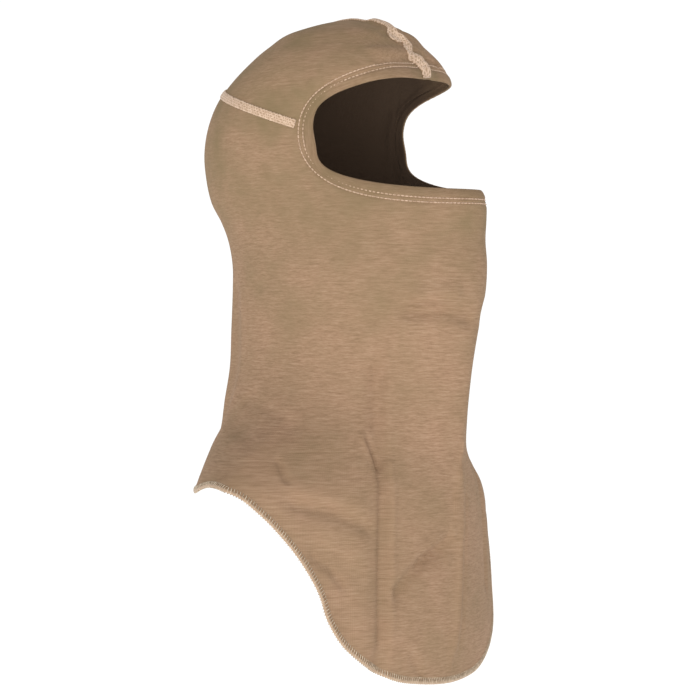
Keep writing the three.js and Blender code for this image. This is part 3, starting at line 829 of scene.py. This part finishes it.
def make_tube(name, line, ups, across, radius, sides, material):
    """Endless thread: a round profile of changing radius carried along a closed line."""
    phase = 2 * math.pi * np.arange(sides) / sides
    ring = np.cos(phase)[None, :, None] * across[:, None] + np.sin(phase)[None, :, None] * ups[:, None]
    points = line[:, None] + ring * np.broadcast_to(radius, len(line))[:, None, None]
    quads = swept_quads(len(line), sides, True)
    return make_piece(name, points.reshape(-1, 3), quads, [material], sharp=THREAD_CORNER)


STITCH_LENGTH, STITCH_THREAD, STITCH_SAMPLES, STITCH_SIDES = 2.8, 0.5, 10, 8


def make_cover_row(name, distance, material):
    """A row of lockstitches beside the rim: the thread rises as a sine between two needle holes, and it is
    thinnest where it dips into them."""
    turn, at = (np.append(part, part[0]) for part in stitch_row(distance))
    surface = cloth(turn, at)
    line, ups, marks = even_line(surface, normal(turn, at), STITCH_LENGTH / STITCH_SAMPLES)
    count = int(round(marks[-1] / STITCH_LENGTH)) * STITCH_SAMPLES
    line, ups = read_at(np.linspace(0, marks[-1], count + 1)[:-1], marks, line, ups)
    wave = np.abs(np.sin(math.pi * np.arange(count) / STITCH_SAMPLES))
    lifted = line + ups * (STITCH_THREAD * (1.3 * wave**0.6 - 0.75))[:, None]
    across = across_line(lifted, ups, True)
    radius = STITCH_THREAD * (0.75 + 0.25 * wave)
    return make_tube(name, lifted, ups, across, radius, STITCH_SIDES, material)


# Points over a flat seam and every fifth of them below, its steps and the length of its stitches.
SEAM_SIDES, UNDER_STRIDE, SEAM_STEP, SEAM_PITCH = 27, 5, 0.3, 2.3
# The seam's underside lies a little inside the cloth, so that no gap shows below it in the gathers.
SEAM_SINK = 0.5
# Four needle threads by their place as a share of the half width, and the share that each one takes up.
NEEDLE_LINES, NEEDLE_REACH = (-0.78, -0.26, 0.26, 0.78), 0.13
# Looper threads by their slant, their strength beside the needle threads, and the height of all threads.
LOOPER_SLANTS, LOOPER_SHARE, SEAM_THREAD_HEIGHT = (-0.9, 0.9), 0.85, 0.24
# Stitches wander and threads are fuzzy: amount, and the steps over which it is evened out.
WANDER, WANDER_STEPS = 0.22, 25
FUZZ, FUZZ_STEPS = 0.1, 11
DOME_POWER, EDGE_SWAY, EDGE_ZONE = 3.2, 0.06, 0.8


def flat_seam(name, line, ups, place, nodes, material, widths=1.0, lifts=SEAM_LIFT):
    """Flat seam: a band of points beside a line, each put back on the cloth and raised by a dome and threads.

    The dome is the square root of 1 - share ** DOME_POWER. Along the band run four needle threads, each a
    Gauss curve of the distance from its own line, and two sets of looper threads cross them as waves."""
    old = np.linspace(0, 1, len(line))
    line, ups, marks = even_line(line, ups, SEAM_STEP)
    count = len(marks)
    share = marks / marks[-1]
    widths = np.interp(share, old, np.broadcast_to(widths, len(old)))[:, None]
    lifts = np.interp(share, old, np.broadcast_to(lifts, len(old)))[:, None]
    across = across_line(line, ups, False)
    w = np.linspace(-1, 1, SEAM_SIDES)
    rng = np.random.default_rng(SEED)
    steps = np.pad(rng.normal(size=count), WANDER_STEPS // 2, "wrap")
    wander = np.convolve(steps, np.hanning(WANDER_STEPS), "valid")
    beat = 2 * math.pi * (marks + WANDER * wander)[:, None] / SEAM_PITCH
    dome = SEAM_THICKNESS * 0.5 * np.sqrt(np.maximum(1 - np.abs(w) ** DOME_POWER, 0))
    needle = np.zeros((count, SEAM_SIDES))
    for middle in NEEDLE_LINES:
        pull = 0.55 + 0.45 * np.cos(beat + 2 * math.pi * middle)
        needle = np.maximum(needle, pull * np.exp(-(((w - middle) / NEEDLE_REACH) ** 2)))
    looper = np.zeros((count, SEAM_SIDES))
    for slant in LOOPER_SLANTS:
        wave = np.cos(beat + 2 * math.pi * slant * w)
        looper = np.maximum(looper, np.clip(wave, 0, 1) ** 1.5)
    blur = np.hanning(FUZZ_STEPS)
    fuzz = [np.convolve(rng.normal(size=count + FUZZ_STEPS - 1), blur, "valid") for _ in w]
    thread = np.clip(np.maximum(needle, LOOPER_SHARE * looper) + FUZZ * np.stack(fuzz, -1), 0, 1)
    # The outer threads overcast the edge, so the sides are uneven.
    sway = EDGE_SWAY * np.cos(beat) * np.sign(w) * (np.abs(w) > EDGE_ZONE)
    spread = SEAM_WIDTH / 2 * widths * (1 + sway)
    turn, at = place(line[:, None] + across[:, None] * (spread * w)[..., None])
    base, out = cloth(turn, at), normal(turn, at)
    top = base + out * (lifts + dome + SEAM_THREAD_HEIGHT * thread * (1 - 0.5 * np.abs(w) ** 4))[..., None]
    low = np.arange(SEAM_SIDES - 2, 0, -UNDER_STRIDE)
    under = base[:, low] + out[:, low] * (lifts - SEAM_THICKNESS / 2 - SEAM_SINK)[..., None]
    rings = np.concatenate((top, under), 1)
    points, quads = rings.reshape(-1, 3), capped_quads(*rings.shape[:2])
    tint = np.concatenate((thread, np.zeros((count, len(low)))), 1).ravel()
    return make_piece(name, points, quads, [material], nodes, thread=tint, sharp=THREAD_CORNER)


def make_back_seam(nodes, material):
    """The seam runs level round the head, from one outer row of cover stitches to the other."""
    reach = COVER_ROWS[1] + SEAM_END_GAP
    start = beside(rim, np.array([rim_angle_at_seam(reach)]), np.array(reach))[0][0]
    turn, at = back_seam(np.linspace(start, 2 * math.pi - start, BACK_SEAM_STEPS))
    return flat_seam("back_flat_seam", plain(turn, at), normal(turn, at), place_of, nodes, material)


# The crown seam where the cloth gathers. Columns: row down the front from the top of the crown, how far it
# strays to the wearer's left, its width as a share, its lift.
GATHERS = np.array(
    (
        (0.0, 0.0, 1.0, 0.2),
        (0.3, 0.0, 1.0, 0.4),
        (0.55, 1.0, 0.9, 0.2),
        (0.8, 2.0, 1.0, 0.2),
        (1.15, -0.5, 1.35, 0.3),
        (1.45, -4.0, 1.35, 0.3),
        (1.6, -3.0, 0.8, 0.0),
        (1.75, 2.5, 0.7, 0.0),
        (1.88, 6.0, 1.2, 0.3),
        (2.15, 4.0, 1.55, 0.4),
        (2.4, 0.0, 0.9, 0.0),
        (2.75, -3.0, 1.2, 0.1),
        (3.2, -2.5, 1.5, 0.1),
        (4.3, -2.0, 1.5, 0.1),
    )
)
# Steps over which the gathers are evened out, the stretch over which the seam bends round the folded edge,
# and the part of a section's row by which it stops short of the rim.
GATHER_STEPS, SEAM_BEND, RIM_GAP = 29, 2.0, 0.01
# So near the top of the head the seam is straight, and its turn is taken from the lean alone.
STRAIGHT_REACH = 3.0


def smooth_step(share):
    """From 0 to 1 without a corner at either end."""
    return share * share * (3 - 2 * share)


def gathers_at(rows):
    """Stray, width and lift of the crown seam at rows that count down the front, evened out."""
    kernel = np.hanning(GATHER_STEPS) / np.hanning(GATHER_STEPS).sum()
    found = []
    for values in GATHERS.T[1:]:
        row = np.pad(np.interp(rows, GATHERS[:, 0], values), GATHER_STEPS // 2, "edge")
        found.append(np.convolve(row, kernel, "valid"))
    return found


def make_crown_seam(nodes, material):
    """The seam follows its leaning line from the brow over the crown, and strays sideways in the gathers."""
    front_end = float(rim(np.zeros(1))[1][0]) - RIM_GAP
    front_row = float(beside(rim, np.zeros(1), EDGE_START)[1][0])
    back_row = float(back_seam(np.array([math.pi]))[1][0])
    back_end = float(back_seam(np.array([math.pi]), SEAM_WIDTH / 2 + SEAM_END_GAP)[1][0])
    rows = np.linspace(-front_end, back_end, CROWN_SEAM_STEPS)
    share_front = np.clip(-rows / front_row, 0, 1)
    share_back = np.clip(rows / back_row, 0, 1)
    lean = np.where(rows < 0, 1 - share_front**2, (1 - share_back) ** 3) * CROWN_SEAM_LEAN
    turn = np.where(rows < 0, 0.0, math.pi) - lean
    at = np.abs(rows)
    stray, width, puff = gathers_at(-rows)
    points = plain(turn, at)
    points[:, 0] += stray
    reach = np.hypot(points[:, 0], points[:, 1])
    moved_turn, moved_at = crown_place(points)
    turn = np.where(reach < STRAIGHT_REACH, turn, moved_turn)
    at = np.where(reach < STRAIGHT_REACH, at, moved_at)
    from_rim = np.linalg.norm(plain(turn, at) - plain(*rim(np.zeros(1))), axis=-1)
    away = np.where(rows < 0, from_rim, np.inf)
    over_band = 1 - smooth_step(np.clip((away - PANEL_START) / SEAM_WIDTH, 0, 1))
    # Over the last stretch it bends round the folded edge.
    bend = np.clip(1 - away / SEAM_BEND, 0, 1) ** 2
    lift = SEAM_LIFT + (FACE_BAND_THICKNESS - CLOTH_WALL) / 2 * over_band - bend
    line, ups = plain(turn, at), normal(turn, at)
    return flat_seam("crown_flat_seam", line, ups, crown_place, nodes, material, width, lift + puff)


# Rows between which a place on the crown is sought.
FIRST_ROW, ROW_SPAN = 0.02, 6.5


def crown_place(points):
    """Turn and row under points of the crown seen from above, by halving the rows until the reach fits."""
    rows = np.full(points.shape[:-1], FIRST_ROW)

    def reach_left(at):
        centre = table_at(SECTIONS, at, CROSSING)[..., 4]
        q = plain(turn_of(points, at), at)
        return np.hypot(q[..., 0], q[..., 1] - centre) - np.hypot(points[..., 0], points[..., 1] - centre)

    at = root_of(reach_left, rows, rows + ROW_SPAN)
    return turn_of(points, at), at


# Steps of the cut edge round the bottom, points round its oval, its thickness as a share of the overlocked
# edge's, and how much of the threads' colour it takes.
CUT_EDGE_STEPS, CUT_EDGE_SIDES, CUT_EDGE_SHARE, CUT_EDGE_TINT = 520, 12, 0.86, 0.25


def hem_steps(count):
    """Even steps of the hem's rows, all the way round the bottom."""
    return np.linspace(0, 2 * (len(HEM) - 1), count + 1)[:-1]


def make_hem_edge(nodes, material):
    """Cut edge of the cloth under the overlocking: a flat oval loop swept round the bottom."""
    phase = 2 * math.pi * (np.arange(CUT_EDGE_SIDES) + 0.5) / CUT_EDGE_SIDES
    aside = HEM_EDGE_HEIGHT / 2 * (1 + np.cos(phase))
    above = HEM_EDGE_THICKNESS / 2 * CUT_EDGE_SHARE * np.sin(phase) - CLOTH_WALL / 2
    grid_along, grid_aside = np.meshgrid(hem_steps(CUT_EDGE_STEPS), aside, indexing="ij")
    turn, at = beside(hem, grid_along, grid_aside)
    points = cloth(turn, at, above + curl(grid_aside)).reshape(-1, 3)
    quads = swept_quads(CUT_EDGE_STEPS, CUT_EDGE_SIDES, True)
    tint = np.full(len(points), CUT_EDGE_TINT)
    return make_piece("hem_cut_edge", points, quads, [material], nodes, thread=tint)


# Overlock stitches: length and radius of thread; the band's width, and how far it passes the edge and stands
# off it; the steps of its line, and the points for each stitch and round the thread.
OVERLOCK_PITCH, OVERLOCK_THREAD = 2.1, 0.30
OVERLOCK_WIDTH, OVERLOCK_OVERHANG, OVERLOCK_LOOSE = 4.8, 0.35, 0.12
OVERLOCK_LINE, OVERLOCK_STEP, OVERLOCK_SAMPLES, OVERLOCK_SIDES = 2400, 0.2, 14, 6


def make_overlock(material):
    """Overlock thread: a flattened helix that wraps the bottom edge once every pitch."""
    middle = OVERLOCK_WIDTH / 2 - OVERLOCK_OVERHANG
    turn, at = beside(hem, hem_steps(OVERLOCK_LINE), np.array(middle))
    centre, ups = cloth(turn, at, curl(middle) - CLOTH_WALL / 2), normal(turn, at)
    centre, ups = (np.concatenate((part, part[:1])) for part in (centre, ups))
    line, ups, marks = even_line(centre, ups, OVERLOCK_STEP)
    count = int(round(marks[-1] / OVERLOCK_PITCH)) * OVERLOCK_SAMPLES
    line, ups = read_at(np.linspace(0, marks[-1], count + 1)[:-1], marks, line, ups)
    across = across_line(line, ups, True)
    phase = 2 * math.pi * np.arange(count) / OVERLOCK_SAMPLES
    wide, high = OVERLOCK_WIDTH / 2, HEM_EDGE_THICKNESS / 2 + OVERLOCK_LOOSE
    path = line + across * (wide * np.cos(phase))[:, None] + ups * (high * np.sin(phase))[:, None]
    out = unit(path - line)
    side = across_line(path, out, True)
    return make_tube("overlock_thread", path, out, side, OVERLOCK_THREAD, OVERLOCK_SIDES, material)


# Camera at the photo's angle: 60 degrees round to the wearer's right, level, 2.5 m from the hood's middle.
CAMERA_TURN = math.radians(-60.0)
CAMERA_DISTANCE, CAMERA_HEIGHT, CAMERA_END = 2.5, -0.2271, 50.0
LENS, SENSOR = 185.2, 36.0


def aim(thing, location):
    """Sets a camera or lamp at a place, looking at the middle of the hood."""
    middle = Vector((0, 0, CAMERA_HEIGHT))
    thing.location = location
    thing.rotation_mode = "QUATERNION"
    thing.rotation_quaternion = (middle - Vector(location)).to_track_quat("-Z", "Y")
    bpy.context.scene.collection.objects.link(thing)


def make_camera():
    """The camera, on a level with the hood's middle."""
    data = bpy.data.cameras.new("camera")
    data.sensor_width = SENSOR
    data.lens = LENS
    data.clip_end = CAMERA_END
    camera = bpy.data.objects.new("camera", data)
    ahead, aside = -math.cos(CAMERA_TURN), math.sin(CAMERA_TURN)
    aim(camera, (aside * CAMERA_DISTANCE, ahead * CAMERA_DISTANCE, CAMERA_HEIGHT))
    bpy.context.scene.camera = camera


def make_light(name, location, size, power):
    """A soft square lamp."""
    data = bpy.data.lights.new(name, "AREA")
    data.size = size
    data.energy = power
    aim(bpy.data.objects.new(name, data), location)


# Floor: half its side and its height. The surround's brightness, level and overhead.
FLOOR_HALF, FLOOR_HEIGHT, FLOOR_GLOW = 30.0, -1.9, 0.45
LEVEL_GLOW, TOP_GLOW = 1.06, 0.6


def make_studio():
    """Pale floor, and a white surround that is a little dimmer overhead."""
    world = bpy.data.worlds.new("studio")
    bpy.context.scene.world = world
    world.use_nodes = True
    tree = world.node_tree
    tree.nodes.clear()
    where = add_node(tree, "ShaderNodeTexCoord").outputs["Generated"]
    up = add_node(tree, "ShaderNodeSeparateXYZ", {0: where}).outputs[2]
    strength = ranged(tree, up, 0.12, 0.8, LEVEL_GLOW, TOP_GLOW)
    glow = add_node(tree, "ShaderNodeBackground", {"Color": (1, 1, 1, 1), "Strength": strength})
    add_node(tree, "ShaderNodeOutputWorld", {0: glow.outputs[0]})
    sides = ((-1, -1), (1, -1), (1, 1), (-1, 1))
    corners = [(x * FLOOR_HALF, y * FLOOR_HALF, FLOOR_HEIGHT) for x, y in sides]
    mesh = bpy.data.meshes.new("floor")
    mesh.from_pydata(corners, [], [(0, 1, 2, 3)])
    floor = bpy.data.objects.new("floor", mesh)
    bpy.context.scene.collection.objects.link(floor)
    material, tree = new_material("matt_white_board")
    inputs = {
        "Base Color": linear("#fbfbfa"),
        "Roughness": 0.9,
        "Emission Color": linear("#ffffff"),
        "Emission Strength": FLOOR_GLOW,
    }
    add_shader(tree, inputs)
    mesh.materials.append(material)


LAMP_PLACE, LAMP_SIZE, LAMP_POWER = (-2.4, -1.0, -0.6), 1.5, 29.5

make_camera()
make_studio()
make_light("key_softbox", LAMP_PLACE, LAMP_SIZE, LAMP_POWER)

outer_knit = knit_material("heathered_jersey_knit", "#82664f", "#9e7f66", "#b4957c", "#7f6d50")
# The knit's back is a darker copy of the outer knit, which is painted shade, and it is painted darker still
# inside the head and neck.
inner_knit_painted_shade = knit_material("jersey_knit_back_painted_shade", "#806451", "#92755d", "#a3866d", "#77654b", "#534336")
# The hem is double cloth. Its knit is a darker copy of the outer knit, which is painted shade on the band.
hem_knit_painted_shade = knit_material("jersey_knit_doubled_painted_shade", "#7b604a", "#957860", "#aa8d75", "#78674b")
seam_thread = seam_material("flat_seam_threads", "#d3b8a0", "#c0a38a", "#a4886d")
stitch_thread = thread_material("cover_stitch_thread", "#cbae96", "#aa8d75", STITCH_FLECKS)
edge_thread = thread_material("overlock_thread", "#d2c1a9", "#99866f", STITCH_FLECKS)

knits = [outer_knit, inner_knit_painted_shade]
make_crown("crown_left_knit", 1, ["crown_left"], knits)
make_crown("crown_right_knit", -1, ["crown_right"], knits)
make_body(["hood_body"], knits)
make_band(["face_band"], [hem_knit_painted_shade, inner_knit_painted_shade])
make_crown_seam(["crown_seam"], seam_thread)
make_back_seam(["back_seam"], seam_thread)
make_cover_row("cover_stitch_inner", COVER_ROWS[0], stitch_thread)
make_cover_row("cover_stitch_outer", COVER_ROWS[1], stitch_thread)
make_hem_edge(["hem_edge"], seam_thread)
make_overlock(edge_thread)

bpy.context.scene.view_settings.view_transform = "Standard"
